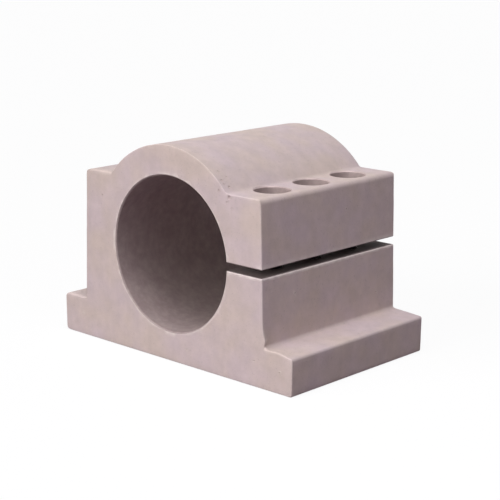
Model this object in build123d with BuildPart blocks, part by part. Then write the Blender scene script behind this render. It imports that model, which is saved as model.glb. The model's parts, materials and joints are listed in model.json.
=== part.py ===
"""Split clamp that grips a round shaft or motor body: one aluminium casting and three cap screws.

The origin is the centre of the base's underside. +Z is up, +Y runs along the bore, and +X
points to the side where the slit opens. All sizes are in millimetres.
"""

import os
from math import radians, sqrt, tan

from build123d import *

# The casting's main sizes
base_width = 129.0
depth = 78.0
bore_diameter = 62.0
bore_height = 43.2
shoulder_height = 71.5
left_side_draft = 2.3
right_side_draft = 1.2

# The dome over the bore: its wall at the crown and on average, and how far it was cast to the left
crown_wall = 11.8
dome_wall = 11.3
dome_shift = 0.8

# The two mounting flanges: the right one falls a little towards its outer edge
left_flange_height = 16.4
right_flange_height = 15.7
right_flange_fall = 0.9
end_draft = 0.3

# Roundings of the casting's outline, seen along the bore
left_end_round = 2.4
right_end_round = 1.1
left_foot_round = 1.0
right_foot_round = 2.2
left_shoulder_round = 2.8
right_shoulder_round = 1.8
dome_blend = 1.0

# Edges all round the two end faces, and the deburred mouths of the bore
rim_round = 0.7
bore_chamfer = 0.4

# The saw cut that lets the upper jaw close runs a little above the bore's axis
slit_width = 3.2
slit_rise = 0.45

# Socket head cap screws, size M8, pull the jaws together
screw_count = 3
screw_pitch = 22.0
thread_radius = 4.0
screw_length = 30.0
head_diameter = 13.0
head_height = 8.0
head_chamfer = 0.6
socket_width = 6.0
socket_depth = 4.0
tip_chamfer = 1.0

# Their holes: a counterbore and a clearance hole above the slit, a thread below it
counterbore_diameter = 14.0
counterbore_depth = 13.4
counterbore_lead = 3.0
clearance_gap = 0.5
thread_gap = 0.05
bore_side_wall = 3.2
outer_side_wall = 3.0
tip_room = 4.0
drill_point_angle = 118.0

# Four threaded holes in the underside fasten the clamp to its carriage
mount_spacing_x = 100.0
mount_spacing_y = 50.0
mount_thread_radius = 4.0
mount_depth = 12.0

# Places that follow from the sizes above
bore_radius = bore_diameter / 2
dome_radius = bore_radius + dome_wall
dome_height = bore_height + crown_wall - dome_wall
dome_reach = sqrt(dome_radius**2 - (shoulder_height - dome_height) ** 2)
clearance_radius = thread_radius + clearance_gap
tapped_radius = thread_radius + thread_gap
mount_radius = mount_thread_radius + thread_gap
screw_x = bore_radius + bore_side_wall + clearance_radius
shoulder_x = screw_x + counterbore_diameter / 2 + outer_side_wall
left_foot_x = shoulder_x + left_side_draft
right_foot_x = shoulder_x + right_side_draft
end_x = base_width / 2
slit_middle = bore_height + slit_rise
slit_bottom = slit_middle - slit_width / 2
seat_height = shoulder_height - counterbore_depth
cutter_start = shoulder_height + counterbore_lead
tip_height = seat_height - screw_length
tapped_depth = slit_bottom - tip_height + tip_room


def cut_drill_point(radius, depth):
    """Cuts the cone that a drill's point leaves at the end of a blind hole."""
    with Locations((0, 0, -depth)):
        Cone(
            bottom_radius=0,
            top_radius=radius,
            height=radius / tan(radians(drill_point_angle / 2)),
            align=(Align.CENTER, Align.CENTER, Align.MAX),
            mode=Mode.SUBTRACT,
        )


def round_corner(sketch, corner, radius):
    """Rounds the corner of the sketch that lies nearest to a place."""
    fillet(sketch.vertices().sort_by_distance((*corner, 0))[0], radius)


# Corners of the section, which is seen from the front with +X to the right
left_foot = (-left_foot_x, left_flange_height)
left_end_top = (-end_x, left_flange_height)
left_end_bottom = (-end_x, 0)
right_end_bottom = (end_x - end_draft, 0)
right_end_top = (end_x, right_flange_height - right_flange_fall)
right_foot = (right_foot_x, right_flange_height)
right_shoulder = (shoulder_x, shoulder_height)
left_shoulder = (-shoulder_x, shoulder_height)
right_dome_foot = (-dome_shift + dome_reach, shoulder_height)
left_dome_foot = (-dome_shift - dome_reach, shoulder_height)

# The section: two flanges, a body with drafted sides and two shoulders, and the dome
with BuildSketch(Plane.XZ) as section:
    with BuildLine():
        Polyline(
            left_foot,
            left_end_top,
            left_end_bottom,
            right_end_bottom,
            right_end_top,
            right_foot,
            right_shoulder,
            left_shoulder,
            close=True,
        )
    make_face()
    with BuildLine():
        dome = CenterArc((-dome_shift, dome_height), dome_radius, 0, 180)
        Line(dome @ 1, dome @ 0)
    make_face()
    round_corner(section, left_end_bottom, left_end_round)
    round_corner(section, left_end_top, left_end_round)
    round_corner(section, left_foot, left_foot_round)
    round_corner(section, left_shoulder, left_shoulder_round)
    round_corner(section, left_dome_foot, dome_blend)
    round_corner(section, right_dome_foot, dome_blend)
    round_corner(section, right_shoulder, right_shoulder_round)
    round_corner(section, right_foot, right_foot_round)
    round_corner(section, right_end_top, right_end_round)
    round_corner(section, right_end_bottom, right_end_round)

with BuildPart() as clamp_body:
    extrude(section.sketch, depth / 2, both=True)
    fillet(clamp_body.faces().filter_by(Axis.Y).edges(), rim_round)

    # The bore, bored right through and deburred at both mouths
    with Locations(Location((0, 0, bore_height), (90, 0, 0))):
        Hole(bore_radius)
    end_faces = clamp_body.faces().filter_by(Axis.Y)
    bore_mouths = [wire.edge() for face in end_faces for wire in face.inner_wires()]
    chamfer(bore_mouths, bore_chamfer)

    # The slit, from the bore out through the right side
    with Locations((0, 0, slit_middle)):
        Box(
            base_width,
            depth,
            slit_width,
            align=(Align.MIN, Align.CENTER, Align.CENTER),
            mode=Mode.SUBTRACT,
        )

    # Counterbores and clearance holes through the upper jaw. The cutter comes from above, so it
    # also takes the little of the dome's foot that stands in its way
    with Locations((screw_x, 0, cutter_start)), GridLocations(0, screw_pitch, 1, screw_count):
        CounterBoreHole(
            radius=clearance_radius,
            counter_bore_radius=counterbore_diameter / 2,
            counter_bore_depth=cutter_start - seat_height,
            depth=cutter_start - slit_middle,
        )

    # Blind threaded holes in the lower jaw
    with Locations((screw_x, 0, slit_bottom)), GridLocations(0, screw_pitch, 1, screw_count):
        Hole(tapped_radius, tapped_depth)
        cut_drill_point(tapped_radius, tapped_depth)

    # Blind threaded holes for the mounting screws, drilled up from the underside
    upwards = Location((0, 0, 0), (180, 0, 0))
    with Locations(upwards), GridLocations(mount_spacing_x, mount_spacing_y, 2, 2):
        Hole(mount_radius, mount_depth)
        cut_drill_point(mount_radius, mount_depth)

clamp_body.part.label = "clamp_body"

# Three equal screws, with their heads seated on the floors of the counterbores
with BuildPart() as clamp_screws:
    with Locations((screw_x, 0, seat_height)), GridLocations(0, screw_pitch, 1, screw_count):
        Cylinder(
            head_diameter / 2,
            head_height,
            align=(Align.CENTER, Align.CENTER, Align.MIN),
        )
        Cylinder(
            thread_radius,
            screw_length,
            align=(Align.CENTER, Align.CENTER, Align.MAX),
        )
    chamfer(clamp_screws.edges().group_by(Axis.Z)[-1], head_chamfer)
    chamfer(clamp_screws.edges().group_by(Axis.Z)[0], tip_chamfer)

    # The hexagon sockets for the key
    with BuildSketch(Plane.XY.offset(seat_height + head_height)):
        with Locations((screw_x, 0)), GridLocations(0, screw_pitch, 1, screw_count):
            RegularPolygon(socket_width / 2, 6, major_radius=False)
    extrude(amount=-socket_depth, mode=Mode.SUBTRACT)

clamp_screws.part.label = "clamp_screws"

os.makedirs("parts", exist_ok=True)
export_step(clamp_body.part, "parts/clamp_body.step")
export_step(clamp_screws.part, "parts/clamp_screws.step")
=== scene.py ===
# %% [markdown]
# # A split shaft clamp
# The object is a clamp that holds a round shaft or a motor body. It is one aluminium casting with
# a big bore, a slit beside it and three cap screws that pull the slit together. The frame below
# gives every piece its place and size, so this lesson only makes the looks: a casting with soft
# edges and a blasted skin, and screws with real threads. All lengths are in metres.

# %% Load the frame
import json
import math

import bmesh
import bpy
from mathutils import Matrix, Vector

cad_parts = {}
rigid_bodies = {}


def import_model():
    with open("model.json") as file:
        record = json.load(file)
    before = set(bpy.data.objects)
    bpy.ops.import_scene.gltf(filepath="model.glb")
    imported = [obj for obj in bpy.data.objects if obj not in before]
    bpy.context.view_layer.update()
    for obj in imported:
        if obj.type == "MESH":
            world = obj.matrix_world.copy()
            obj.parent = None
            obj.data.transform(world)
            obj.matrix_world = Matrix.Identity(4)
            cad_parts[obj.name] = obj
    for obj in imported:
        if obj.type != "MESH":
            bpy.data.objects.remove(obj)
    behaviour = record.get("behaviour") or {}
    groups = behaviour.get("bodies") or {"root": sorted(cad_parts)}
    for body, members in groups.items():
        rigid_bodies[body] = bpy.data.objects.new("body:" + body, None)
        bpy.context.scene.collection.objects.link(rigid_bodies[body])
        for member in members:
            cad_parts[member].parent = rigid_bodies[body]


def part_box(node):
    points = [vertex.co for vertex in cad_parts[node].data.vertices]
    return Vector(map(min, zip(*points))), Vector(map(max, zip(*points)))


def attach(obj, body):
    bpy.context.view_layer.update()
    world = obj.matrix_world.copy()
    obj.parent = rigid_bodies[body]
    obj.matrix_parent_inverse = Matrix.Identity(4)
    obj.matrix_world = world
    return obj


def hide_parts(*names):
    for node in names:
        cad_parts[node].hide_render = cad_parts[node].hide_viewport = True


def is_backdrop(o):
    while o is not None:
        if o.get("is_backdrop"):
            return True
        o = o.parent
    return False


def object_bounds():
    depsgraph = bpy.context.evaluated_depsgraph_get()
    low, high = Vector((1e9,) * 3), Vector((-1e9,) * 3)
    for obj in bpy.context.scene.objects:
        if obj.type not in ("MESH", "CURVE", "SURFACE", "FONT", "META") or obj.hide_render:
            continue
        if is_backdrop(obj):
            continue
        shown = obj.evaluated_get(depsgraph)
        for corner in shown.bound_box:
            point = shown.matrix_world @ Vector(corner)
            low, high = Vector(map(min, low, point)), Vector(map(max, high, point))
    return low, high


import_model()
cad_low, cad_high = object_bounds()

MM = 0.001
print("CAD box in mm:", [round(side / MM, 1) for side in cad_high - cad_low])

# %% [markdown]
# ## Sizes that come from the frame
# The casting's box gives its width, depth and height, and the screws' box says where the screws
# stand. Only what a box can't tell is written here: the bore, the wall above it, the heights of
# the flanges and the lean that lets the pattern leave its mould.

# %% Sizes of the casting
body_low, body_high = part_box("clamp_body")
screws_low, screws_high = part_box("clamp_screws")

end_x = body_high.x
half_depth = body_high.y
height = body_high.z

bore_radius = 31 * MM
crown_wall = 11.8 * MM
dome_wall = 11.3 * MM
dome_shift = 0.8 * MM
bore_z = height - crown_wall - bore_radius
dome_radius = bore_radius + dome_wall
dome_z = height - dome_radius

shoulder_x = 48.7 * MM
shoulder_z = 71.5 * MM
left_draft = 2.3 * MM
right_draft = 1.2 * MM
left_flange_z = 16.4 * MM
right_flange_z = 15.7 * MM
right_flange_fall = 0.9 * MM
end_draft = 0.3 * MM

slit_rise = 0.45 * MM
slit_width = 3.2 * MM
slit_z = bore_z + slit_rise

print("Bore axis at", round(bore_z / MM, 2), "mm, slit at", round(slit_z / MM, 2), "mm")

# %% Sizes of the screws and their holes
HEAD_HEIGHT = 8 * MM
head_radius = (screws_high.x - screws_low.x) / 2
screw_x = (screws_low.x + screws_high.x) / 2
screw_pitch = (screws_high.y - screws_low.y) / 2 - head_radius
screw_rows = (-screw_pitch, 0.0, screw_pitch)
head_top = screws_high.z
seat_z = head_top - HEAD_HEIGHT
tip_z = screws_low.z

print("Screws stand at x", round(screw_x / MM, 2), "mm, seats at z", round(seat_z / MM, 2), "mm")

# %% [markdown]
# ## Working as by hand
# A modelling operator acts on whatever is selected, and the imported frame arrives selected. So
# small helpers do what a modeller's mouse does: take makes a single piece active, and pick opens
# it and selects the vertices, edges or faces that pass a test on their middle.

# %% Select one piece, or a part of it
SLACK = 0.05 * MM
HAIR = 0.01 * MM


def leave_edit_mode():
    """Goes back to object mode, which also stores what was edited."""
    if bpy.context.mode != "OBJECT":
        bpy.ops.object.mode_set(mode="OBJECT")


def select_nothing():
    """Leaves nothing selected, in object mode."""
    leave_edit_mode()
    bpy.ops.object.select_all(action="DESELECT")


def take(piece):
    """Makes one piece the only selected and active one, in object mode."""
    select_nothing()
    piece.select_set(True)
    bpy.context.view_layer.objects.active = piece


def pick(piece, kind="VERT", wanted=lambda place: True):
    """Opens a piece with what passes the test selected; kind is VERT, EDGE or FACE."""
    take(piece)
    mesh = piece.data
    bpy.ops.object.mode_set(mode="EDIT")
    bpy.ops.mesh.select_mode(type=kind)
    bpy.ops.mesh.select_all(action="DESELECT")
    leave_edit_mode()
    items = {"VERT": mesh.vertices, "EDGE": mesh.edges, "FACE": mesh.polygons}[kind]
    found = 0
    for item in items:
        corners = [item.index] if kind == "VERT" else item.vertices
        middle = sum((mesh.vertices[i].co for i in corners), Vector()) / len(corners)
        if wanted(middle):
            item.select = True
            found += 1
    bpy.ops.object.mode_set(mode="EDIT")
    return found


def near(value, target, slack=SLACK):
    """Tells whether two lengths agree."""
    return abs(value - target) < slack


select_nothing()
print("Nothing is selected:", not bpy.context.selected_objects)

# %% [markdown]
# ## A line of points becomes a piece
# Both a casting and a turned part start as a drawn line. One vertex is left of a plane primitive
# and is extruded from point to point. Closed and filled, the line is a section that can be
# extruded. Swept round an axis by the Screw modifier, it is a part from a lathe.

# %% Draw a line, and turn it
WELD = 0.001 * MM


def draw(name, points, closed=False):
    """Extrudes one vertex through the points, and fills the loop if it is closed."""
    select_nothing()
    bpy.ops.mesh.primitive_plane_add(size=1)
    piece = bpy.context.object
    piece.name = piece.data.name = name
    bpy.ops.object.mode_set(mode="EDIT")
    bpy.ops.mesh.select_mode(type="VERT")
    bpy.ops.mesh.select_all(action="SELECT")
    bpy.ops.mesh.merge(type="CENTER")
    bpy.ops.transform.translate(value=points[0])
    for here, there in zip(points, points[1:]):
        step = Vector(there) - Vector(here)
        bpy.ops.mesh.extrude_region_move(TRANSFORM_OT_translate={"value": step})
    if closed:
        bpy.ops.mesh.select_all(action="SELECT")
        bpy.ops.mesh.edge_face_add()
    leave_edit_mode()
    return piece


def apply_modifier(piece, name, kind, **settings):
    """Adds a modifier with its settings and applies it at once."""
    take(piece)
    modifier = piece.modifiers.new(name, kind)
    for key, value in settings.items():
        setattr(modifier, key, value)
    bpy.ops.object.modifier_apply(modifier=modifier.name)


def outward(piece):
    """Merges doubles and turns every face outwards."""
    pick(piece)
    bpy.ops.mesh.remove_doubles(threshold=WELD)
    bpy.ops.mesh.select_all(action="SELECT")
    bpy.ops.mesh.normals_make_consistent(inside=False)
    leave_edit_mode()


def turn(name, profile, steps):
    """Turns a profile of (radius, height) pairs, which starts and ends on the axis, about Z."""
    piece = draw(name, [(radius, 0, z) for radius, z in profile])
    apply_modifier(
        piece,
        "Lathe",
        "SCREW",
        steps=steps,
        render_steps=steps,
        use_merge_vertices=True,
        merge_threshold=WELD,
    )
    outward(piece)
    return piece


def move(piece, place):
    """Moves a piece by moving its mesh, so that the object stays at the origin."""
    pick(piece)
    bpy.ops.transform.translate(value=place)
    leave_edit_mode()


def rotate(piece, angle, axis):
    """Turns a piece's mesh about an axis through the origin."""
    pick(piece)
    bpy.ops.transform.rotate(value=angle, orient_axis=axis, center_override=(0, 0, 0))
    leave_edit_mode()


print("Points nearer than", WELD / MM, "mm are merged")

# %% [markdown]
# ## The casting's section
# Seen from the front the casting is one outline: two flanges, leaning sides, two shoulders and
# the dome over the bore. It is drawn with sharp corners. The third number of each corner is the
# radius of its rounding, which is added last, as a pattern maker does.

# %% Draw the outline and extrude it
DOME_STEPS = 44

dome_reach = math.sqrt(dome_radius**2 - (shoulder_z - dome_z) ** 2)
dome_start = math.asin((shoulder_z - dome_z) / dome_radius)
right_dome_x = dome_reach - dome_shift
left_dome_x = -dome_reach - dome_shift

corners = {
    "left end bottom": (-end_x, 0.0, 3.6 * MM),
    "right end bottom": (end_x - end_draft, 0.0, 1.1 * MM),
    "right end top": (end_x, right_flange_z - right_flange_fall, 1.1 * MM),
    "right foot": (shoulder_x + right_draft, right_flange_z, 1.2 * MM),
    "right shoulder": (shoulder_x, shoulder_z, 1.8 * MM),
    "right dome foot": (right_dome_x, shoulder_z, 1.0 * MM),
    "left dome foot": (left_dome_x, shoulder_z, 1.0 * MM),
    "left shoulder": (-shoulder_x, shoulder_z, 4.2 * MM),
    "left foot": (-shoulder_x - left_draft, left_flange_z, 1.0 * MM),
    "left end top": (-end_x, left_flange_z, 3.0 * MM),
}


def dome_points():
    """Points of the dome between its two feet, from right to left."""
    sweep = math.pi - 2 * dome_start
    angles = [dome_start + sweep * step / DOME_STEPS for step in range(1, DOME_STEPS)]
    return [
        (dome_radius * math.cos(a) - dome_shift, dome_z + dome_radius * math.sin(a)) for a in angles
    ]


outline = []
for name, (x, z, radius) in corners.items():
    outline.append((x, z))
    if name == "right dome foot":
        outline += dome_points()

casting = draw("cast_body", [(x, half_depth, z) for x, z in outline], closed=True)
take(casting)
bpy.ops.object.mode_set(mode="EDIT")
bpy.ops.mesh.select_all(action="SELECT")
bpy.ops.mesh.extrude_region_move(TRANSFORM_OT_translate={"value": (0, -2 * half_depth, 0)})
leave_edit_mode()
outward(casting)
print("Outline points:", len(outline), "faces:", len(casting.data.polygons))

# %% [markdown]
# ## Soft edges
# A casting has no knife edges. The left side came out rounder than the right one, and the rim
# of the two end faces is softer on the left and under the base than along the dome. Every edge
# is given a weight for its own radius, and one Bevel modifier rounds them all together.

# %% Weigh the edges and bevel them
WIDEST_ROUND = 4.5 * MM
ROUND_SEGMENTS = 5
BOTTOM_RIM = 0.7 * MM
LEFT_RIM = 1.0 * MM
DOME_RIM = 0.3 * MM
SHOULDER_RIM = 0.5 * MM
RIGHT_RIM = 0.5 * MM


def weigh(kind_of_edge, radius):
    """Gives the edges that pass the test the bevel weight of a radius."""
    pick(casting, "EDGE", kind_of_edge)
    bpy.ops.transform.edge_bevelweight(value=radius / WIDEST_ROUND)


for x, z, radius in corners.values():
    weigh(lambda place: near(place.x, x) and near(place.z, z), radius)

rims = (
    (BOTTOM_RIM, lambda place: near(place.z, 0)),
    (LEFT_RIM, lambda place: place.x < left_dome_x and place.z > BOTTOM_RIM),
    (DOME_RIM, lambda place: left_dome_x < place.x < right_dome_x and place.z > shoulder_z),
    (SHOULDER_RIM, lambda place: right_dome_x < place.x < shoulder_x and near(place.z, shoulder_z)),
    (RIGHT_RIM, lambda place: place.x > shoulder_x and place.z > BOTTOM_RIM),
)
for radius, wanted in rims:
    weigh(lambda place: near(abs(place.y), half_depth) and wanted(place), radius)
leave_edit_mode()
settings = {"limit_method": "WEIGHT", "width": WIDEST_ROUND, "segments": ROUND_SEGMENTS}
apply_modifier(casting, "Rounded edges", "BEVEL", use_clamp_overlap=False, **settings)
outward(casting)
print("Faces after the bevel:", len(casting.data.polygons))

# %% [markdown]
# ## A skin that can move
# The flat faces are still single polygons, so nothing in them could be uneven. They are diced by
# planes a few millimetres apart, like the lines on graph paper. The dice cut through the rounded
# edges too, which lets the edges waver a little, as cast ones do.

# %% Dice the casting
DICE = 2.4 * MM
DICE_SNAP = 0.1 * MM


def dice(piece, axis, low, high):
    """Cuts the piece by evenly spaced planes across one axis."""
    count = round((high - low) / DICE)
    normal = [0.0, 0.0, 0.0]
    normal[axis] = 1.0
    for step in range(1, count):
        place = [0.0, 0.0, 0.0]
        place[axis] = low + (high - low) * step / count
        bpy.ops.mesh.select_all(action="SELECT")
        bpy.ops.mesh.bisect(plane_co=place, plane_no=normal, threshold=DICE_SNAP)


pick(casting, "FACE")
for axis in range(3):
    dice(casting, axis, body_low[axis], body_high[axis])
leave_edit_mode()
print("Faces after dicing:", len(casting.data.polygons))

# %% [markdown]
# ## Marks of the foundry and of use
# Above the right foot the front edge carries a small bump where the mould had chipped, and the
# foot and the flange beside it are a little full. All three are pulled out by hand with
# proportional editing. The whole skin then gets two Displace modifiers: slow waves from the
# mould's wall and a finer unevenness. The underside is milled flat, so it is left out of the
# vertex group.

# %% Pull three bumps, then let the skin waver
MILLED_HEIGHT = 0.4 * MM
CHIP_PLACE = Vector((shoulder_x + right_draft, -half_depth, 19.7 * MM))
CHIP_REACH = 3.2 * MM
CHIP_PULL = Vector((1.1 * MM, 0, 0))
FOOT_PLACE = Vector((51.0 * MM, -half_depth, 16.4 * MM))
FOOT_REACH = 2.8 * MM
FOOT_PULL = Vector((1.0 * MM, 0, 0.2 * MM))
FULL_PLACE = Vector((58 * MM, -half_depth, right_flange_z))
FULL_REACH = 5.5 * MM
FULL_PULL = Vector((0, 0, 0.6 * MM))
WAVE_SIZE = 17 * MM
WAVE_HEIGHT = 0.14 * MM
RIPPLE_SIZE = 4.2 * MM
RIPPLE_HEIGHT = 0.09 * MM


def pull_bump(piece, target, pull, reach):
    """Pulls the vertex nearest to a place, and its neighbours less and less."""
    nearest = min((target - v.co).length for v in piece.data.vertices)
    pick(piece, "VERT", lambda place: (target - place).length < nearest + HAIR)
    bpy.ops.transform.translate(
        value=pull,
        use_proportional_edit=True,
        proportional_edit_falloff="SMOOTH",
        proportional_size=reach,
    )
    leave_edit_mode()


pull_bump(casting, CHIP_PLACE, CHIP_PULL, CHIP_REACH)
pull_bump(casting, FOOT_PLACE, FOOT_PULL, FOOT_REACH)
pull_bump(casting, FULL_PLACE, FULL_PULL, FULL_REACH)

skin = casting.vertex_groups.new(name="cast skin")
skin.add([v.index for v in casting.data.vertices if v.co.z > MILLED_HEIGHT], 1.0, "REPLACE")


def waver(piece, name, size, amount):
    """Moves the cast skin in and out by a soft cloud pattern."""
    clouds = bpy.data.textures.new(name, "CLOUDS")
    clouds.noise_scale = size
    clouds.noise_depth = 1
    apply_modifier(
        piece,
        name,
        "DISPLACE",
        texture=clouds,
        texture_coords="LOCAL",
        strength=amount,
        mid_level=0.5,
        vertex_group="cast skin",
    )


waver(casting, "Mould waves", WAVE_SIZE, WAVE_HEIGHT)
waver(casting, "Skin ripples", RIPPLE_SIZE, RIPPLE_HEIGHT)
low_corner = [min(v.co[a] for v in casting.data.vertices) / MM for a in range(3)]
print("Lowest corner after the waves in mm:", [round(c, 2) for c in low_corner])

# %% [markdown]
# ## Cutting with a solid
# From here on everything is cut. A tool is modelled as a solid, and a Boolean takes it out of the
# casting. Each tool wears the finish that it leaves behind, and the Boolean hands that finish on.

# %% Finishes that the tools leave, still empty
finishes = {}
for finish in ("blasted_casting", "bored_wall", "drilled_wall", "sawn_wall", "milled_base"):
    finishes[finish] = bpy.data.materials.new(finish)
    finishes[finish].use_nodes = True
casting.data.materials.append(finishes["blasted_casting"])


def cut(piece, tool, finish=None):
    """Takes a tool's solid out of a piece, with the finish it leaves, and throws the tool away."""
    if finish:
        tool.data.materials.append(finishes[finish])
    apply_modifier(
        piece,
        "Cut",
        "BOOLEAN",
        operation="DIFFERENCE",
        solver="EXACT",
        material_mode="TRANSFER",
        object=tool,
    )
    bpy.data.meshes.remove(tool.data)


print("Finishes:", ", ".join(finishes))

# %% [markdown]
# ## Pits
# Gas in the melt leaves a few pits in a cast skin. Each is a small ball, pressed into the surface
# by a share of its radius, and all of them are cut at once. The largest sits at the front where
# the dome meets the right shoulder. Others lie round it, along the dome's front rim and over the
# front and the right side. Their places and radii are in millimetres.

# %% Cut the pits
PIT_SHARE = 0.55

front_pits = (
    (32.9, 70.2, 1.05), (31.6, 68.3, 0.55), (34.2, 66.4, 0.4), (28.2, 77.2, 0.5),
    (27.4, 72.2, 0.55), (29.9, 74.6, 0.5), (45.5, 10.2, 0.45), (58.3, 8.6, 0.4),
    (-52.4, 9.5, 0.42), (-38.6, 61.5, 0.4), (9.5, 6.8, 0.36),
)
side_pits = ((-21.0, 33.5, 0.42), (9.0, 61.0, 0.4), (27.5, 24.5, 0.36))
dome_pits = ((49.2, -36.8, 0.65), (46.6, -37.0, 0.55), (44.3, -35.4, 0.75), (55.2, -35.2, 0.5),
             (50.8, -33.4, 0.5))

pit_balls = []
for x, z, radius in front_pits:
    pit_balls.append((x, -half_depth / MM - radius * (1 - PIT_SHARE), z, radius))
for y, z, radius in side_pits:
    side_x = shoulder_x + right_draft * (shoulder_z - z * MM) / (shoulder_z - right_flange_z)
    pit_balls.append((side_x / MM + radius * (1 - PIT_SHARE), y, z, radius))
for degrees, y, radius in dome_pits:
    lean = math.radians(degrees)
    out = dome_radius / MM + radius * (1 - PIT_SHARE)
    across = out * math.cos(lean) - dome_shift / MM
    pit_balls.append((across, y, dome_z / MM + out * math.sin(lean), radius))

select_nothing()
for number, (x, y, z, radius) in enumerate(pit_balls):
    place = (x * MM, y * MM, z * MM)
    bpy.ops.mesh.primitive_ico_sphere_add(subdivisions=2, radius=radius * MM, location=place)
    bpy.context.object.name = f"pit_{number}"
    bpy.ops.object.transform_apply(location=True, rotation=False, scale=False)
for piece in bpy.data.objects:
    piece.select_set(piece.name.startswith("pit_"))
bpy.ops.object.join()
cut(casting, bpy.context.object, "blasted_casting")
print("Pits:", len(pit_balls), "faces:", len(casting.data.polygons))

# %% [markdown]
# ## The machined cuts
# On the real part the bore, the screw holes and the slit are cut after the casting has cooled.
# The same order works here. Each cutter is a little wider at its mouth, which leaves the small
# chamfer of a deburred edge.

# %% Bore and slit
BORE_STEPS = 144
BORE_CHAMFER = 0.45 * MM
SLIT_CHAMFER = 0.4 * MM
OVERSHOOT = 1.0 * MM

flare = BORE_CHAMFER + OVERSHOOT
mouth_y = half_depth - BORE_CHAMFER
reamer = turn(
    "reamer",
    [
        (0, -mouth_y - flare),
        (bore_radius + flare, -mouth_y - flare),
        (bore_radius, -mouth_y),
        (bore_radius, mouth_y),
        (bore_radius + flare, mouth_y + flare),
        (0, mouth_y + flare),
    ],
    BORE_STEPS,
)
rotate(reamer, math.pi / 2, "X")
move(reamer, (0, 0, bore_z))
cut(casting, reamer, "bored_wall")

right_side_x = shoulder_x + right_draft * (shoulder_z - slit_z) / (shoulder_z - right_flange_z)
saw_flare = SLIT_CHAMFER + OVERSHOOT
saw_size = (right_side_x + OVERSHOOT, 2 * (half_depth + OVERSHOOT), slit_width + 2 * saw_flare)
select_nothing()
bpy.ops.mesh.primitive_cube_add(size=1, scale=saw_size, location=(saw_size[0] / 2, 0, slit_z))
saw = bpy.context.object
bpy.ops.object.transform_apply(location=True, rotation=False, scale=True)
pick(saw, "FACE", lambda place: abs(place.z - slit_z) > slit_width / 2 + SLIT_CHAMFER)
bpy.ops.mesh.inset(thickness=saw_flare, depth=-saw_flare, use_individual=True)
leave_edit_mode()
cut(casting, saw, "sawn_wall")
print("Faces after bore and slit:", len(casting.data.polygons))

# %% [markdown]
# ## A helical thread
# A thread is a toothed line swept round once while it climbs by one pitch: every tooth then lands
# on its neighbour, and the merged surface is a true helix. Its two open ends are drawn flat and
# filled. The same rod serves twice, as the screw's shank and as the tap that cuts the holes below.

# %% Sweep a thread
PITCH = 1.25 * MM
CREST_SHARE = 1 / 8
FLANK_SHARE = 3 / 8
THREAD_STEPS = 40
END_BELOW_ROOT = 0.3 * MM


def clip_radius(piece, limit):
    """Pulls in every vertex that stands further from the Z axis than the limit at its height."""
    for vertex in piece.data.vertices:
        radius = math.hypot(vertex.co.x, vertex.co.y)
        allowed = limit(vertex.co.z)
        if radius > allowed:
            vertex.co.x *= allowed / radius
            vertex.co.y *= allowed / radius


def threaded_rod(name, crest, root, bottom, top, lead_in):
    """A closed rod along Z with a helical thread; lead_in says how far each end tapers."""
    teeth = math.floor((top - bottom) / PITCH) - 1
    line = []
    for tooth in range(teeth):
        start = bottom + tooth * PITCH
        line += [(crest, start), (crest, start + CREST_SHARE * PITCH)]
        line += [(root, start + (CREST_SHARE + FLANK_SHARE) * PITCH)]
        line += [(root, start + (2 * CREST_SHARE + FLANK_SHARE) * PITCH)]
    line += [(crest, bottom + teeth * PITCH)]
    rod = draw(name, [(radius, 0, z) for radius, z in line])
    apply_modifier(
        rod,
        "Thread",
        "SCREW",
        steps=THREAD_STEPS,
        render_steps=THREAD_STEPS,
        screw_offset=PITCH,
        use_merge_vertices=True,
        merge_threshold=WELD,
    )
    outward(rod)
    close_end(rod, bottom, lambda place: place.z < (bottom + top) / 2)
    close_end(rod, top, lambda place: place.z > (bottom + top) / 2)
    inner = root - END_BELOW_ROOT

    def limit(z):
        low_taper = inner + (z - bottom) * (crest - inner) / lead_in[0]
        high_taper = inner + (top - z) * (crest - inner) / lead_in[1]
        return max(inner, min(crest, low_taper, high_taper))

    clip_radius(rod, limit)
    outward(rod)
    return rod


def close_end(rod, height, at_this_end):
    """Draws the open edge at one end of a rod flat at a height, and fills it."""
    take(rod)
    bpy.ops.object.mode_set(mode="EDIT")
    bpy.ops.mesh.select_mode(type="VERT")
    bpy.ops.mesh.select_all(action="DESELECT")
    open_only = {"use_wire": False, "use_multi_face": False, "use_non_contiguous": False}
    bpy.ops.mesh.select_non_manifold(extend=False, use_boundary=True, **open_only)
    leave_edit_mode()
    for vertex in rod.data.vertices:
        vertex.select = vertex.select and at_this_end(vertex.co)
    for edge in rod.data.edges:
        edge.select = all(rod.data.vertices[i].select for i in edge.vertices)
    for face in rod.data.polygons:
        face.select = False
    bpy.ops.object.mode_set(mode="EDIT")
    bpy.ops.mesh.select_mode(type="EDGE")
    bpy.ops.mesh.extrude_region_move(TRANSFORM_OT_translate={"value": (0, 0, 0)})
    bpy.ops.transform.resize(value=(1, 1, 0), center_override=(0, 0, height))
    bpy.ops.mesh.edge_face_add()
    leave_edit_mode()


MAJOR_RADIUS = 4.0 * MM
ROOT_RADIUS = 3.35 * MM
TAPPED_PLAY = 0.05 * MM
TAPPED_DEPTH = 12 * MM
TAP_TAPER = 2 * MM
NO_TAPER = 0.001 * MM

tap = threaded_rod(
    "tap",
    MAJOR_RADIUS + TAPPED_PLAY,
    ROOT_RADIUS + TAPPED_PLAY,
    -PITCH,
    TAPPED_DEPTH,
    (NO_TAPER, TAP_TAPER),
)
print("Tap:", len(tap.data.polygons), "faces")

# %% [markdown]
# ## Holes for the screws
# Each cap screw sinks into a counterbore, passes the upper jaw through a clearance hole and
# threads into the lower jaw. One stepped tool, turned in a single profile, cuts all of it at
# once, down to the cone that the drill's point leaves. The four holes in the underside, which
# fasten the clamp to its carriage, are drilled and tapped the same way.

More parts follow.
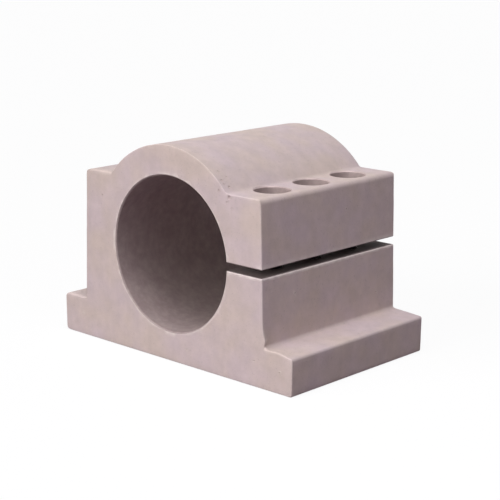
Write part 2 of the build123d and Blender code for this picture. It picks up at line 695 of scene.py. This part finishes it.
# %% Cut the stepped holes
HOLE_STEPS = 72
COUNTERBORE_RADIUS = 7.0 * MM
COUNTERBORE_CHAMFER = 0.35 * MM
CLEARANCE_RADIUS = 4.5 * MM
MOUTH_CHAMFER = 0.4 * MM
TIP_ROOM = 4.0 * MM
DRILL_POINT_DEGREES = 118
DRILL_SLOPE = 1 / math.tan(math.radians(DRILL_POINT_DEGREES / 2))

tapped_radius = MAJOR_RADIUS + TAPPED_PLAY
slit_low_z = slit_z - slit_width / 2
slit_high_z = slit_z + slit_width / 2
drill_end_z = tip_z - TIP_ROOM


def copy_piece(piece, name):
    """A second piece with its own mesh."""
    twin = piece.copy()
    twin.data = piece.data.copy()
    twin.name = twin.data.name = name
    bpy.context.scene.collection.objects.link(twin)
    return twin


def join_copies(piece, places):
    """Copies a piece to every place, and joins the copies into one."""
    copies = []
    for number, place in enumerate(places):
        copies.append(copy_piece(piece, f"{piece.name}_{number}"))
        move(copies[-1], place)
    bpy.data.meshes.remove(piece.data)
    take(copies[0])
    for twin in copies:
        twin.select_set(True)
    bpy.ops.object.join()
    return copies[0]


stepped_drill = turn(
    "stepped_drill",
    [
        (0, drill_end_z - DRILL_SLOPE * tapped_radius),
        (tapped_radius, drill_end_z),
        (tapped_radius, slit_low_z - MOUTH_CHAMFER),
        (tapped_radius + MOUTH_CHAMFER, slit_low_z),
        (CLEARANCE_RADIUS + MOUTH_CHAMFER, slit_high_z),
        (CLEARANCE_RADIUS, slit_high_z + MOUTH_CHAMFER),
        (CLEARANCE_RADIUS, seat_z),
        (COUNTERBORE_RADIUS, seat_z),
        (COUNTERBORE_RADIUS, shoulder_z - COUNTERBORE_CHAMFER),
        (COUNTERBORE_RADIUS + COUNTERBORE_CHAMFER + OVERSHOOT, shoulder_z + OVERSHOOT),
        (0, shoulder_z + OVERSHOOT),
    ],
    HOLE_STEPS,
)
cut(casting, join_copies(stepped_drill, [(screw_x, y, 0) for y in screw_rows]), "drilled_wall")
print("Faces after the stepped holes:", len(casting.data.polygons))

# %% Cut the tapped holes of the underside
MOUNT_X = 50 * MM
MOUNT_Y = 25 * MM
CORE_ROOM = 0.08 * MM

core_radius = ROOT_RADIUS + TAPPED_PLAY + CORE_ROOM
mount_drill = turn(
    "mount_drill",
    [
        (0, -OVERSHOOT),
        (tapped_radius + MOUTH_CHAMFER + OVERSHOOT, -OVERSHOOT),
        (core_radius, tapped_radius + MOUTH_CHAMFER - core_radius),
        (core_radius, TAPPED_DEPTH),
        (0, TAPPED_DEPTH + DRILL_SLOPE * core_radius),
    ],
    THREAD_STEPS,
)
mount_places = [(x, y, 0) for x in (-MOUNT_X, MOUNT_X) for y in (-MOUNT_Y, MOUNT_Y)]
cut(casting, join_copies(mount_drill, mount_places), "drilled_wall")
cut(casting, join_copies(tap, mount_places), "drilled_wall")
print("Faces after the tapped holes:", len(casting.data.polygons))

# %% [markdown]
# ## Cap screws
# A socket head cap screw is headed, knurled and rolled from one rod. The head is turned, every
# second line of its side is pulled in for the knurl, and the socket is cut with a six-sided
# cylinder. The shank is the threaded rod from above. One screw is made and copied twice.

# %% Head, knurl, socket and shank
KNURL_TEETH = 56
KNURL_DEPTH = 0.16 * MM
KNURL_FADE = 0.2 * MM
HEAD_CHAMFER = 0.6 * MM
HEAD_FOOT_CHAMFER = 0.3 * MM
PLAIN_FOOT = 0.5 * MM
PLAIN_TOP = 0.3 * MM
NECK_LENGTH = 3.0 * MM
NECK_FILLET = 0.4 * MM
NECK_RELIEF = 0.1 * MM
SOCKET_WIDTH = 6 * MM
SOCKET_DEPTH = 4 * MM
SOCKET_MOUTH = 0.08 * MM
TIP_TAPER = 1.0 * MM
RUN_OUT = 0.6 * MM

knurl_bottom = seat_z + PLAIN_FOOT
knurl_top = head_top - HEAD_CHAMFER - PLAIN_TOP
neck_end_z = seat_z - NECK_LENGTH
neck_radius = MAJOR_RADIUS - NECK_RELIEF

screw = turn(
    "cap_screw",
    [
        (0, neck_end_z),
        (neck_radius, neck_end_z),
        (neck_radius, seat_z - NECK_FILLET),
        (MAJOR_RADIUS + NECK_FILLET, seat_z),
        (head_radius - HEAD_FOOT_CHAMFER, seat_z),
        (head_radius, seat_z + HEAD_FOOT_CHAMFER),
        (head_radius, knurl_bottom),
        (head_radius, knurl_bottom + KNURL_FADE),
        (head_radius, knurl_top - KNURL_FADE),
        (head_radius, knurl_top),
        (head_radius, head_top - HEAD_CHAMFER),
        (head_radius - HEAD_CHAMFER / 3, head_top - HEAD_CHAMFER / 3),
        (head_radius - HEAD_CHAMFER, head_top),
        (0, head_top),
    ],
    2 * KNURL_TEETH,
)


def in_knurl_groove(place):
    """Tells whether a vertex lies on every second line of the head's knurled side."""
    turned = math.atan2(place.y, place.x) / (2 * math.pi) * 2 * KNURL_TEETH
    on_side = math.hypot(place.x, place.y) > head_radius - HAIR
    between = knurl_bottom + KNURL_FADE / 2 < place.z < knurl_top - KNURL_FADE / 2
    return on_side and between and round(turned) % 2 == 0


pick(screw, "VERT", in_knurl_groove)
pull = 1 - KNURL_DEPTH / head_radius
bpy.ops.transform.resize(value=(pull, pull, 1), center_override=(0, 0, seat_z))
leave_edit_mode()

socket_corner = SOCKET_WIDTH / math.sqrt(3)
select_nothing()
bpy.ops.mesh.primitive_cylinder_add(
    vertices=6,
    radius=socket_corner,
    depth=2 * SOCKET_DEPTH,
    location=(0, 0, head_top),
)
hexagon = bpy.context.object
bpy.ops.object.transform_apply(location=True, rotation=False, scale=False)
pick(hexagon, "FACE", lambda place: place.z < head_top - SOCKET_DEPTH / 2)
bpy.ops.mesh.extrude_region_move(TRANSFORM_OT_translate={"value": (0, 0, -socket_corner / 2)})
bpy.ops.mesh.merge(type="CENTER")
leave_edit_mode()
cut(screw, hexagon)

mouth_radius = socket_corner + SOCKET_MOUTH
socket_mouth = turn(
    "socket_mouth",
    [
        (0, head_top - mouth_radius),
        (mouth_radius + OVERSHOOT, head_top + OVERSHOOT),
        (0, head_top + OVERSHOOT),
    ],
    2 * KNURL_TEETH,
)
cut(screw, socket_mouth)

lead_in = (TIP_TAPER, RUN_OUT)
shank = threaded_rod("shank", MAJOR_RADIUS, ROOT_RADIUS, tip_z, neck_end_z, lead_in)
take(screw)
shank.select_set(True)
bpy.ops.object.join()
print("One screw:", len(screw.data.polygons), "faces")

# %% Three screws in their holes
SCREW_TURNS = (0.35, 1.15, 0.75)

cap_screws = []
for name, y, turned in zip(("front", "middle", "back"), screw_rows, SCREW_TURNS):
    twin = copy_piece(screw, f"cap_screw_{name}")
    rotate(twin, turned, "Z")
    move(twin, (screw_x, y, 0))
    cap_screws.append(twin)
bpy.data.meshes.remove(screw.data)
print("Screws:", [twin.name for twin in cap_screws])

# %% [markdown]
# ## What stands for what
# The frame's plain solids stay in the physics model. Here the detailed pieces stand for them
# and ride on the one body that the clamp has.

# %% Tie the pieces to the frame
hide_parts("clamp_body")
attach(casting, "root")
for twin in cap_screws:
    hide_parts("clamp_screws")
    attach(twin, "root")

# %% [markdown]
# ## Where the edges are
# Edges are painted lighter, partly as rubbed wear and partly as a painted highlight, and inner
# corners and the hollows of pits are painted darker as painted shade. The materials need to know
# where both are, so each vertex stores how sharply the faces around it turn: outwards in one
# attribute, inwards in the other. Edges are lightest where shafts and hands pass and where the
# highlights lie: the slit's lower lip, the bore's mouths and the right side. All of that travels
# with the mesh.

# %% Measure edges and hollows
FULL_TURN = math.radians(35)
FLAT_ANGLE = math.radians(4)
CLEARLY_LIGHTENED = 0.5
LIP_REACH = 0.7 * MM
MOUTH_REACH = 1.2 * MM
FRONT_REACH = 1.5 * MM
CREST_START = 12 * MM
CREST_END = 25 * MM
FOOT_REACH_DOWN = 1.5 * MM
FOOT_TOP_Z = 19 * MM
SIDE_REACH = 1 * MM
SHOULDER_REACH = 3 * MM
FLANGE_REACH = 1 * MM


def wear_and_highlight_at(place):
    """How much an edge of the casting is lightened, by rubbing and by a painted highlight, from 0
    to 1, in the first spot that fits.
    """
    across = math.hypot(place.x, place.z - bore_z)
    over_bore = place.z > shoulder_z and CREST_START < place.x < CREST_END
    foot_bottom_z = right_flange_z - FOOT_REACH_DOWN
    low_side = place.x > shoulder_x - SIDE_REACH and place.z < shoulder_z - SHOULDER_REACH
    # The lip, the bore's mouths, the crest and the right side are lighter partly from rubbing and
    # partly as a painted highlight along their edges.
    spots = {
        "slit's lower lip": (1.0, place.x > 0 and near(place.z, slit_low_z, LIP_REACH)),
        "bore's mouth": (0.75, near(across, bore_radius, MOUTH_REACH)),
        "dome's crest": (0.4, over_bore and place.y < -half_depth + FRONT_REACH),
        "right foot": (0.25, place.x > shoulder_x and foot_bottom_z < place.z < FOOT_TOP_Z),
        "right side": (0.7, low_side),
        "flanges": (0.45, place.z < left_flange_z + FLANGE_REACH),
        "elsewhere": (0.1, True),
    }
    return next(share for share, here in spots.values() if here)


def measure_turns(piece):
    """Stores on each vertex how convex and how concave its sharpest edge is, from 0 to 1."""
    reading = bmesh.new()
    reading.from_mesh(piece.data)
    wear_and_highlight = []
    corner_shade = []
    for vertex in reading.verts:
        turns = [edge.calc_face_angle_signed(0) for edge in vertex.link_edges if edge.is_manifold]
        turns = turns or [0]
        share = wear_and_highlight_at(vertex.co) if piece is casting else 1
        wear_and_highlight.append(share * min(1, max(0, max(turns) - FLAT_ANGLE) / FULL_TURN))
        corner_shade.append(min(1, max(0, -min(turns) - FLAT_ANGLE) / FULL_TURN))
    reading.free()
    for name, values in (("edge_wear_and_highlight", wear_and_highlight), ("inner_corner", corner_shade)):
        layer = piece.data.attributes.new(name, "FLOAT", "POINT")
        layer.data.foreach_set("value", values)
    return sum(1 for value in wear_and_highlight if value > CLEARLY_LIGHTENED)


for piece in [casting, *cap_screws]:
    print(piece.name, "has", measure_turns(piece), "vertices on edges")

# %% Shade smoothly, but keep the edges
KEEP_SHARP = math.radians(32)

for piece in [casting, *cap_screws]:
    take(piece)
    bpy.ops.object.shade_smooth_by_angle(angle=KEEP_SHARP)
print("Sharp from", round(math.degrees(KEEP_SHARP)), "degrees")

# %% [markdown]
# ## Two finishes laid on by hand
# The cut walls have their finish from the tools. Two places still wear a wrong one. The underside
# is milled flat but has the cast skin, and the chamfer along the slit's lower lip is worn like the
# skin beside it and carries a painted highlight, but has the saw's finish. Their faces are picked
# by place and given another slot.

# %% Finish the underside and the slit's lip
UNDERSIDE_Z = 0.02 * MM
LIP_INSET = 1 * MM
LIP_BAND = (1.5 * SLIT_CHAMFER, 0.1 * SLIT_CHAMFER)


def refinish(finish, wanted):
    """Gives the casting's faces that pass the test one of its finishes."""
    found = pick(casting, "FACE", wanted)
    casting.active_material_index = casting.data.materials.find(finish)
    bpy.ops.object.material_slot_assign()
    leave_edit_mode()
    return found


def on_lower_lip(place):
    """Tells whether a face lies on the chamfer along the slit's lower lip."""
    in_height = slit_low_z - LIP_BAND[0] < place.z < slit_low_z - LIP_BAND[1]
    outside = place.x > right_side_x - LIP_INSET or abs(place.y) > half_depth - LIP_INSET
    return in_height and outside and place.x > bore_radius + LIP_INSET


casting.data.materials.append(finishes["milled_base"])
milled = refinish("milled_base", lambda place: place.z < UNDERSIDE_Z)
lips = refinish("blasted_casting", on_lower_lip)
print("Milled faces:", milled, "lip faces:", lips)
print("Finishes:", [material.name for material in casting.data.materials])

# %% [markdown]
# ## Building materials from nodes
# Every finish is a Principled shader fed by noise in object coordinates, so the pattern keeps its
# real size in metres and stays with the piece. One helper adds a node and connects its inputs: a
# socket is linked, and a number or colour is set on the socket itself. The others build on it:
# patches make a grey pattern, and shaded lays it on a colour.

# %% Helpers for nodes
def connect(tree, node, inputs):
    """Links each input that is given a socket, and sets each that is given a value."""
    for key, value in inputs.items():
        if isinstance(value, bpy.types.NodeSocket):
            tree.links.new(value, node.inputs[key])
        else:
            node.inputs[key].default_value = value


def add(tree, kind, inputs=None, **settings):
    """Adds a shader node, applies its settings, and links or sets its inputs."""
    node = tree.nodes.new(kind)
    for key, value in settings.items():
        setattr(node, key, value)
    connect(tree, node, inputs or {})
    return node


def noise(tree, place, scale, detail=2.0, roughness=0.5):
    """The grey value of a noise pattern with so many cells per metre."""
    inputs = {"Vector": place, "Scale": scale, "Detail": detail, "Roughness": roughness}
    return add(tree, "ShaderNodeTexNoise", inputs).outputs["Fac"]


def stretched(tree, place, scale):
    """Object coordinates stretched by a factor along each axis."""
    return add(tree, "ShaderNodeMapping", {"Vector": place, "Scale": scale}).outputs["Vector"]


def spread(tree, value, low, high, to_low=0.0, to_high=1.0):
    """Maps a range of grey values to another range, and clamps it."""
    inputs = {"Value": value, "From Min": low, "From Max": high}
    inputs |= {"To Min": to_low, "To Max": to_high}
    return add(tree, "ShaderNodeMapRange", inputs).outputs["Result"]


def patches(tree, place, scale, low, high, detail=2.0, roughness=0.5, to_low=0.0, to_high=1.0):
    """A noise pattern with its grey values spread to a range."""
    return spread(tree, noise(tree, place, scale, detail, roughness), low, high, to_low, to_high)


def attribute(tree, name):
    """The value that the mesh stores under a name."""
    return add(tree, "ShaderNodeAttribute", attribute_name=name).outputs["Fac"]


def times(tree, one, other):
    """Multiplies two grey values."""
    return add(tree, "ShaderNodeMath", {0: one, 1: other}, operation="MULTIPLY").outputs[0]


def mix(tree, factor, one, other, blend="MIX"):
    """Mixes two colours, which are inputs 6 and 7 of the node and come out at output 2."""
    inputs = {0: factor, 6: one, 7: other}
    return add(tree, "ShaderNodeMix", inputs, data_type="RGBA", blend_type=blend).outputs[2]


def shaded(tree, colour, grey):
    """A colour multiplied by a grey value."""
    inputs = {"Red": grey, "Green": grey, "Blue": grey}
    shade = add(tree, "ShaderNodeCombineColor", inputs).outputs["Color"]
    return mix(tree, 1.0, colour, shade, "MULTIPLY")


def bump(tree, height, depth, below=None):
    """A bump of so many metres, on top of another one if given."""
    inputs = {"Height": height, "Distance": depth, "Strength": 1.0}
    if below:
        inputs["Normal"] = below
    return add(tree, "ShaderNodeBump", inputs).outputs["Normal"]


def start(material):
    """Empties a material and returns its tree, its shader and the object coordinates."""
    tree = material.node_tree
    tree.nodes.clear()
    shader = add(tree, "ShaderNodeBsdfPrincipled")
    add(tree, "ShaderNodeOutputMaterial", {"Surface": shader.outputs["BSDF"]})
    place = add(tree, "ShaderNodeTexCoord").outputs["Object"]
    return tree, shader, place


def linear(red, green, blue):
    """A colour as seen on a screen, from 0 to 255, as the linear values a shader takes."""
    return tuple(((c / 255 + 0.055) / 1.055) ** 2.4 for c in (red, green, blue)) + (1.0,)


print("A mid grey of 188 is", round(linear(188, 188, 188)[0], 3), "in linear light")

# %% [markdown]
# ## The blasted casting
# The skin is matt and warm grey, a little rosy in places, with soft blotches of a few
# millimetres, faint streaks down the walls and a fine blasted grain. Edges are brighter, partly
# rubbed and partly a painted highlight, and inner corners are darker with painted shade.
# Each pattern is given by its scale, in cells per metre, and by the range that it is spread to.
# The grain is three reliefs on top of each other, each with its scale, detail and depth.

# %% Paint the blasted casting
WARM = linear(204, 187, 180)
ROSY = linear(203, 186, 187)
# The edge colour is wear with a painted highlight; the corner colour is painted shade.
WEAR_AND_HIGHLIGHT_COLOUR = linear(232, 221, 215)
CORNER_SHADE_COLOUR = linear(150, 131, 118)
TINT = dict(scale=60.0, low=0.36, high=0.64)
BLOTCHES = dict(
    scale=190.0, detail=3.0, roughness=0.6, low=0.3, high=0.7, to_low=0.94, to_high=1.05
)
STREAK_STRETCH = (420.0, 420.0, 55.0)
STREAKS = dict(scale=1.0, low=0.3, high=0.7, to_low=0.987, to_high=1.012)
PORES = dict(scale=1100.0, low=0.62, high=0.76, to_low=1.0, to_high=0.86)
# How strongly the painted corner shade and the lighter edges, wear with a painted highlight, are
# laid on.
CORNER_SHADE_SHARE = 0.35
WEAR_AND_HIGHLIGHT_RANGE = dict(low=0.12, high=0.7)
WEAR_AND_HIGHLIGHT_PATCHES = dict(scale=330.0, low=0.35, high=0.6, to_low=0.25)
WEAR_AND_HIGHLIGHT_SHARE = 0.7
SKIN_METALLIC = 0.1
SKIN_SPECULAR = 0.15
SKIN_ROUGHNESS = dict(scale=260.0, low=0.3, high=0.7, to_low=0.58, to_high=0.74)
SKIN_GRAIN = ((230.0, 3.0, 0.10 * MM), (900.0, 3.0, 0.05 * MM), (3600.0, 2.0, 0.02 * MM))


def cast_colour(tree, place):
    """The skin's colour with its blotches, streaks and pores, painted shade in inner corners, and
    edges lighter from wear and from a painted highlight.
    """
    colour = mix(tree, patches(tree, place, **TINT), WARM, ROSY)
    colour = shaded(tree, colour, patches(tree, place, **BLOTCHES))
    down_the_wall = stretched(tree, place, STREAK_STRETCH)
    colour = shaded(tree, colour, patches(tree, down_the_wall, **STREAKS))
    colour = shaded(tree, colour, patches(tree, place, **PORES))
    # Inner corners and pits are painted darker and browner: painted shade.
    corner_shade = times(tree, attribute(tree, "inner_corner"), CORNER_SHADE_SHARE)
    colour = mix(tree, corner_shade, colour, CORNER_SHADE_COLOUR)
    # Edges are painted lighter: partly rubbed wear, partly a painted highlight.
    wear_and_highlight = spread(tree, attribute(tree, "edge_wear_and_highlight"), **WEAR_AND_HIGHLIGHT_RANGE)
    rubbed_and_highlit = times(tree, wear_and_highlight, patches(tree, place, **WEAR_AND_HIGHLIGHT_PATCHES))
    return mix(tree, times(tree, rubbed_and_highlit, WEAR_AND_HIGHLIGHT_SHARE), colour, WEAR_AND_HIGHLIGHT_COLOUR)


tree, shader, place = start(finishes["blasted_casting"])
relief = None
for scale, detail, depth in SKIN_GRAIN:
    relief = bump(tree, noise(tree, place, scale, detail), depth, relief)
connect(tree, shader, {
    "Base Color": cast_colour(tree, place),
    "Metallic": SKIN_METALLIC,
    "Specular IOR Level": SKIN_SPECULAR,
    "Roughness": patches(tree, place, **SKIN_ROUGHNESS),
    "Normal": relief,
})
print("Casting:", len(tree.nodes), "nodes")

# %% [markdown]
# ## The cut walls
# A cutting edge leaves fine lines where it travelled: rings round the bore, rings down the
# drilled holes, straight strokes in the sawn slit. Each is the same noise, squeezed hard along
# the direction in which the tool was fed. The bore and the slit are painted darker, as painted
# shade, and the drilled holes a little lighter, as painted light. The milled underside keeps the
# wide arcs of a cutter.

# %% Paint the cut walls
CUT_METAL = linear(188, 170, 167)
CUT_SHADE = linear(178, 159, 157)
CUT_CLOUDS = dict(scale=150.0, detail=3.0, low=0.35, high=0.65)
CUT_SPOTS = dict(
    scale=420.0, detail=3.0, roughness=0.65, low=0.35, high=0.68, to_low=0.94, to_high=1.1
)
CUT_GRAIN_SCALE = 1500.0
CUT_GRAIN_DEPTH = 0.012 * MM
CUT_SPECULAR = 0.2
TOOL_LINES = dict(scale=1.0, detail=3.0, roughness=0.6)
LINE_RANGE = (0.3, 0.7)
LINE_SHADES = (0.97, 1.02)
LINE_ROUGHNESS = (-0.06, 0.08)


def paint_cut(name, stretch, depth, roughness, painted_brightness, metallic):
    """A cut surface with tool lines across the direction of feed, its brightness set by painted
    light and shade.
    """
    tree, shader, place = start(finishes[name])
    lines = noise(tree, stretched(tree, place, stretch), **TOOL_LINES)
    colour = mix(tree, patches(tree, place, **CUT_CLOUDS), CUT_METAL, CUT_SHADE)
    shade = spread(tree, lines, *LINE_RANGE, *(painted_brightness * share for share in LINE_SHADES))
    colour = shaded(tree, colour, shade)
    colour = shaded(tree, colour, patches(tree, place, **CUT_SPOTS))
    grain = bump(tree, noise(tree, place, CUT_GRAIN_SCALE), CUT_GRAIN_DEPTH)
    connect(tree, shader, {
        "Base Color": colour,
        "Metallic": metallic,
        "Specular IOR Level": CUT_SPECULAR,
        "Roughness": spread(tree, lines, *LINE_RANGE, *(roughness + r for r in LINE_ROUGHNESS)),
        "Normal": bump(tree, lines, depth, grain),
    })
    print(name, "has lines", round(depth / MM, 3), "mm deep")


# The tone darkens the bore and the slit as painted shade and lightens the drilled holes as painted
# light.
paint_cut("bored_wall", stretch=(8.0, 2600.0, 8.0), depth=0.006 * MM,
          roughness=0.6, painted_brightness=0.84, metallic=0.04)
paint_cut("drilled_wall", stretch=(60.0, 60.0, 2400.0), depth=0.006 * MM,
          roughness=0.5, painted_brightness=1.08, metallic=0.15)
paint_cut("sawn_wall", stretch=(1500.0, 45.0, 45.0), depth=0.02 * MM,
          roughness=0.65, painted_brightness=0.5, metallic=0.1)

# %% Paint the milled underside
MILL_CENTRE = (-0.25, 0.02, 0.0)
MILL_ARCS = {"Scale": 260.0, "Distortion": 0.6, "Detail": 2.0, "Detail Scale": 0.3}
MILL_CLOUDS = dict(scale=60.0, detail=3.0, low=0.35, high=0.65)
MILL_SHADES = (0.94, 1.04)
MILL_METALLIC = 0.5
MILL_ROUGHNESS = 0.42
MILL_DEPTH = 0.01 * MM

tree, shader, place = start(finishes["milled_base"])
centred = add(tree, "ShaderNodeMapping", {"Vector": place, "Location": MILL_CENTRE}).outputs[0]
arcs = add(
    tree,
    "ShaderNodeTexWave",
    {"Vector": centred, **MILL_ARCS},
    wave_type="RINGS",
    rings_direction="Z",
).outputs["Fac"]
colour = mix(tree, patches(tree, place, **MILL_CLOUDS), CUT_METAL, CUT_SHADE)
colour = shaded(tree, colour, spread(tree, arcs, 0, 1, *MILL_SHADES))
connect(tree, shader, {
    "Base Color": colour,
    "Metallic": MILL_METALLIC,
    "Roughness": MILL_ROUGHNESS,
    "Normal": bump(tree, arcs, MILL_DEPTH),
})
print("Underside:", len(tree.nodes), "nodes")

# %% [markdown]
# ## Black oxide on the screws
# The screws are hardened steel with a black oxide skin. It is a dark, slightly oily metal whose
# edges and knurl rub through to a paler grey.

# %% Paint the screws
OXIDE = (0.022, 0.022, 0.025, 1.0)
OXIDE_BROWN = (0.036, 0.03, 0.027, 1.0)
BARE_STEEL = (0.22, 0.215, 0.21, 1.0)
OXIDE_CLOUDS = dict(scale=420.0, detail=3.0, low=0.4, high=0.65)
BARE_RANGE = dict(low=0.5, high=1.0, to_high=0.5)
BARE_PATCHES = dict(scale=900.0, low=0.4, high=0.65)
OXIDE_METALLIC = 0.85
OXIDE_ROUGHNESS = dict(scale=700.0, detail=3.0, low=0.3, high=0.7, to_low=0.3, to_high=0.48)
GRIT_SCALE = 5200.0
GRIT_DEPTH = 0.006 * MM

black_oxide = bpy.data.materials.new("black_oxide")
black_oxide.use_nodes = True
tree, shader, place = start(black_oxide)
colour = mix(tree, patches(tree, place, **OXIDE_CLOUDS), OXIDE, OXIDE_BROWN)
wear_and_highlight = spread(tree, attribute(tree, "edge_wear_and_highlight"), **BARE_RANGE)
rubbed_and_highlit = times(tree, wear_and_highlight, patches(tree, place, **BARE_PATCHES))
connect(tree, shader, {
    "Base Color": mix(tree, rubbed_and_highlit, colour, BARE_STEEL),
    "Metallic": OXIDE_METALLIC,
    "Roughness": patches(tree, place, **OXIDE_ROUGHNESS),
    "Normal": bump(tree, noise(tree, place, GRIT_SCALE), GRIT_DEPTH),
})
for twin in cap_screws:
    twin.data.materials.clear()
    twin.data.materials.append(black_oxide)
print("Screws painted")

# %% [markdown]
# ## The studio
# The clamp stands on a pale floor in front of white. The floor takes the light and the shadow as
# a plain matt surface; only for the camera and for reflections most of it is white, so the
# backdrop is bright while the lamps stay at a plain level. From below the floor lets the camera
# see through it, so that the underside can be looked at.

# %% The floor
FLOOR_SIZE = 30.0
FLOOR_COLOUR = (0.2, 0.15, 0.19, 1.0)
FLOOR_DROP = 0.02 * MM
WHITE = (1.0, 1.0, 1.0, 1.0)
FLOOR_WHITE_SHARE = 0.9

select_nothing()
bpy.ops.mesh.primitive_plane_add(size=FLOOR_SIZE)
floor = bpy.context.object
floor.name = floor.data.name = "floor"
move(floor, (0, 0, -FLOOR_DROP))
floor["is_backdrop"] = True


def seen_directly(tree):
    """One where a ray comes from the camera, a reflection or a refraction, else zero."""
    ray = add(tree, "ShaderNodeLightPath")
    seen = ray.outputs["Is Camera Ray"]
    for output in ("Is Glossy Ray", "Is Transmission Ray"):
        either = {0: seen, 1: ray.outputs[output]}
        seen = add(tree, "ShaderNodeMath", either, operation="MAXIMUM").outputs[0]
    return seen


floor_paint = bpy.data.materials.new("floor_paint")
floor_paint.use_nodes = True
tree = floor_paint.node_tree
tree.nodes.clear()
seen = seen_directly(tree)
floor_colour = mix(tree, seen, FLOOR_COLOUR, WHITE)
matt = add(tree, "ShaderNodeBsdfDiffuse", {"Color": floor_colour})
bright = add(tree, "ShaderNodeEmission", {"Color": WHITE, "Strength": 1.0})
share = times(tree, seen, FLOOR_WHITE_SHARE)
both = add(tree, "ShaderNodeMixShader", {0: share, 1: matt.outputs[0], 2: bright.outputs[0]})
from_below = times(tree, seen, add(tree, "ShaderNodeNewGeometry").outputs["Backfacing"])
clear = add(tree, "ShaderNodeBsdfTransparent")
shown = add(tree, "ShaderNodeMixShader", {0: from_below, 1: both.outputs[0], 2: clear.outputs[0]})
add(tree, "ShaderNodeOutputMaterial", {"Surface": shown.outputs[0]})
floor.data.materials.append(floor_paint)
print("Floor of", FLOOR_SIZE, "m")

# %% The room's fill light and its white backdrop
FILL_COLOUR = (1.0, 0.94, 1.0, 1.0)
FILL_STRENGTH = 0.02

studio = bpy.data.worlds.new("studio")
bpy.context.scene.world = studio
studio.use_nodes = True
tree = studio.node_tree
tree.nodes.clear()
fill = add(tree, "ShaderNodeBackground", {"Color": FILL_COLOUR, "Strength": FILL_STRENGTH})
white = add(tree, "ShaderNodeBackground", {"Color": WHITE, "Strength": 1.0})
seen = seen_directly(tree)
both = add(tree, "ShaderNodeMixShader", {0: seen, 1: fill.outputs[0], 2: white.outputs[0]})
add(tree, "ShaderNodeOutputWorld", {"Surface": both.outputs[0]})
print("Backdrop:", len(tree.nodes), "nodes")

# %% [markdown]
# ## Lamps
# Three lamps light the clamp. The key is a softbox that stands low in front, a little to the left,
# and lights the face with the bore. A second hangs above and lights the dome. A small square one
# close to the right shoulder lifts its top and the dome's slope beside it. The right side gets
# little more than what the floor throws back, which sets it off from the face. The first two are
# suns with a wide angle, which act like softboxes that are far away, so their light is even.

# %% Set the lamps
KEY_COLOUR = (1.0, 1.0, 0.985)
TOP_COLOUR = (1.0, 1.0, 1.04)
SHOULDER_COLOUR = (1.0, 0.99, 1.03)


def hang(name, kind, towards, energy, colour):
    """A lamp that shines from a direction onto the clamp."""
    lamp = bpy.data.lights.new(name, kind)
    lamp.energy = energy
    lamp.color = colour
    holder = bpy.data.objects.new(name, lamp)
    bpy.context.scene.collection.objects.link(holder)
    holder.rotation_euler = Vector(towards).to_track_quat("Z", "Y").to_euler()
    return holder


def softbox(name, towards, strength, degrees, colour):
    """A far softbox that is so many degrees wide: a wide sun."""
    hang(name, "SUN", towards, strength, colour).data.angle = math.radians(degrees)


def near_softbox(name, towards, distance, side, watts, colour):
    """A square lamp close by, so that what is nearer to it gets more light."""
    holder = hang(name, "AREA", towards, watts, colour)
    holder.data.size = side
    holder.location = Vector((0, 0, bore_z)) + Vector(towards).normalized() * distance


softbox("key", (-0.3, -0.95, 0.32), strength=2.22, degrees=46, colour=KEY_COLOUR)
softbox("top", (0.12, -0.12, 0.95), strength=1.76, degrees=34, colour=TOP_COLOUR)
near_softbox("shoulder light", (0.54, -0.45, 0.71), distance=0.4, side=0.25,
             watts=0.39, colour=SHOULDER_COLOUR)

# %% [markdown]
# ## Camera
# The photograph looks along the bore's front from the right and a little above, through a long
# lens. The view was found from the known sizes: the base, the depth, the height and the bore pin
# down the angle, the distance and the lens.

# %% Place the camera
VIEW_AZIMUTH = math.radians(43.569)
VIEW_ELEVATION = math.radians(13.505)
VIEW_DISTANCE = 563.806 * MM
VIEW_CENTRE = Vector((6.298 * MM, 0, 39.255 * MM))
LENS_MM = 100.236
SENSOR_MM = 36.0

back = Vector((
    math.sin(VIEW_AZIMUTH) * math.cos(VIEW_ELEVATION),
    -math.cos(VIEW_AZIMUTH) * math.cos(VIEW_ELEVATION),
    math.sin(VIEW_ELEVATION),
))
lens = bpy.data.cameras.new("camera")
lens.lens = LENS_MM
lens.sensor_width = SENSOR_MM
camera = bpy.data.objects.new("camera", lens)
bpy.context.scene.collection.objects.link(camera)
camera.location = VIEW_CENTRE + back * VIEW_DISTANCE
camera.rotation_euler = back.to_track_quat("Z", "Y").to_euler()
bpy.context.scene.camera = camera
bpy.context.scene.view_settings.view_transform = "Standard"
print("Camera at", [round(c / MM) for c in camera.location], "mm")

# %% [markdown]
# ## Last look at the sizes
# The looks may not change the size of the thing. The dressed model's box is measured, and its
# growth over the frame's box is printed.

# %% Measure the sizes and finish
shown_low, shown_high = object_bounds()
growth = [(shown_high[a] - shown_low[a] - cad_high[a] + cad_low[a]) / MM for a in range(3)]
print("The dressed clamp is larger than the frame by", [round(g, 2) for g in growth], "mm")
